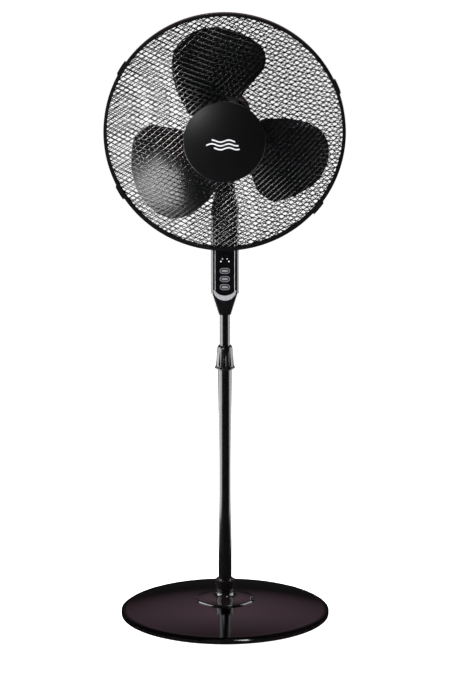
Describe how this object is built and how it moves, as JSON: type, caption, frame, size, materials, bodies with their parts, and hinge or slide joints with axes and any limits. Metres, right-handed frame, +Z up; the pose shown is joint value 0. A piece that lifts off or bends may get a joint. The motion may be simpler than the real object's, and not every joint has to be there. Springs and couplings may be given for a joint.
{
  "type": "pedestal fan",
  "caption": "Floor-standing fan: round weighted base, height-adjustable pole, control column, tilting and swinging motor head with twisted blades in a wire guard.",
  "frame": {"origin": "on the floor, on the pole's axis, at the centre of the base", "axes": "+Z up the pole, the fan blows towards -Y, +X to the left of the fan as it faces"},
  "size_m": [0.44, 0.39, 1.166],
  "materials": {
    "base_gloss": "high gloss moulded, dark",
    "zinc_steel": "zinc plated",
    "iron": "cast, unfinished",
    "foot_rubber": "matt",
    "tube_enamel": "gloss black stoved enamel",
    "black_moulding": "satin moulded",
    "column_moulding": "semi-gloss moulded",
    "panel_gloss": "piano black",
    "silver_trim": "silver lacquer",
    "key_grey": "satin grey",
    "led_lens": "diffused lens",
    "window_tint": "infrared tint",
    "board_green": "solder mask",
    "switch_black": "moulded",
    "cast_metal": "die-cast",
    "motor_can": "pressed can",
    "crank_nylon": "natural acetal",
    "bush_bronze": "sintered",
    "lamination": "stacked sheet",
    "winding_copper": "enamelled copper wire",
    "shaft_steel": "ground",
    "guard_enamel": "gloss black powder coat",
    "band_black": "semi-gloss moulded",
    "badge_satin": "satin",
    "blade_gloss": "high gloss moulded"
  },
  "bodies": {
    "stand": {"base_plate": "zinc_steel", "base_weight": "iron", "rubber_feet": "foot_rubber", "pole_bolt": "zinc_steel", "base_cover": "base_gloss", "pole_socket": "base_gloss", "boss_screw": "zinc_steel", "pole_plug": "black_moulding", "outer_tube": "tube_enamel", "tube_bush": "black_moulding"},
    "collar": {"height_collar": "black_moulding"},
    "mast": {"inner_tube": "tube_enamel", "tube_guide": "black_moulding", "column_spine": "black_moulding", "column_front": "column_moulding", "column_rear": "column_moulding", "column_screws": "zinc_steel", "control_panel": "panel_gloss", "panel_lip": "silver_trim", "indicator_leds": "led_lens", "receiver_window": "window_tint", "control_board": "board_green", "tact_switches": "switch_black", "clamp_screw": "zinc_steel", "cord_gland": "black_moulding", "tilt_bolt": "zinc_steel", "tilt_nut": "zinc_steel"},
    "speed_key": {"speed_button": "key_grey"},
    "timer_key": {"timer_button": "key_grey"},
    "power_key": {"power_button": "key_grey"},
    "tilt_neck": {"neck": "black_moulding", "pivot_screw": "zinc_steel"},
    "head": {"swing_pin": "zinc_steel", "head_bracket": "cast_metal", "swing_motor": "motor_can", "motor_front_shield": "cast_metal", "motor_rear_shield": "cast_metal", "bearing_bushes": "bush_bronze", "stator_core": "lamination", "stator_windings": "winding_copper", "through_bolts": "zinc_steel", "motor_cover_front": "column_moulding", "motor_cover_rear": "column_moulding", "guard_plate": "guard_enamel", "guard_nut": "black_moulding", "front_guard_ring": "guard_enamel", "rear_guard_ring": "guard_enamel", "front_guard_wires": "guard_enamel", "rear_guard_wires": "guard_enamel", "rim_band": "band_black", "rim_clips": "band_black", "rim_rivet": "zinc_steel", "badge": "badge_satin", "badge_screw": "zinc_steel"},
    "crank": {"swing_crank": "crank_nylon"},
    "rotor": {"rotor_core": "lamination", "motor_shaft": "shaft_steel", "blade_set": "blade_gloss", "drive_pin": "zinc_steel", "spinner": "blade_gloss"}
  },
  "joints": [
    {"name": "collar_twist", "type": "hinge", "parent": "stand", "child": "collar", "pos_m": [0, 0, 0.5], "axis": [0, 0, 1], "range_deg": [0, 120]},
    {"name": "height", "type": "slide", "parent": "stand", "child": "mast", "axis": [0, 0, 1], "range_m": [-0.055, 0.2]},
    {"name": "speed_press", "type": "slide", "parent": "mast", "child": "speed_key", "axis": [0, 1, 0], "range_m": [0, 0.0008], "stiffness_N_per_m": 800, "springref_m": -0.0005},
    {"name": "timer_press", "type": "slide", "parent": "mast", "child": "timer_key", "axis": [0, 1, 0], "range_m": [0, 0.0008], "stiffness_N_per_m": 800, "springref_m": -0.0005},
    {"name": "power_press", "type": "slide", "parent": "mast", "child": "power_key", "axis": [0, 1, 0], "range_m": [0, 0.0008], "stiffness_N_per_m": 800, "springref_m": -0.0005},
    {"name": "tilt", "type": "hinge", "parent": "mast", "child": "tilt_neck", "pos_m": [0, 0, 0.835], "axis": [-1, 0, 0], "range_deg": [-15, 20]},
    {"name": "head_swing", "type": "hinge", "parent": "tilt_neck", "child": "head", "pos_m": [0, 0, 0.88], "axis": [0, 0, 1], "range_deg": [-40, 40]},
    {"name": "crank_turn", "type": "hinge", "parent": "head", "child": "crank", "pos_m": [0, 0.016, 0.8755], "axis": [0, 0, 1], "range_deg": [-100, 100]},
    {"name": "blade_spin", "type": "hinge", "parent": "head", "child": "rotor", "pos_m": [0, -0.1, 0.946], "axis": [0, 1, 0], "continuous": true}
  ],
  "couplings": [
    {"joint": "crank_turn", "follows": "head_swing", "ratio": -2.5}
  ]
}
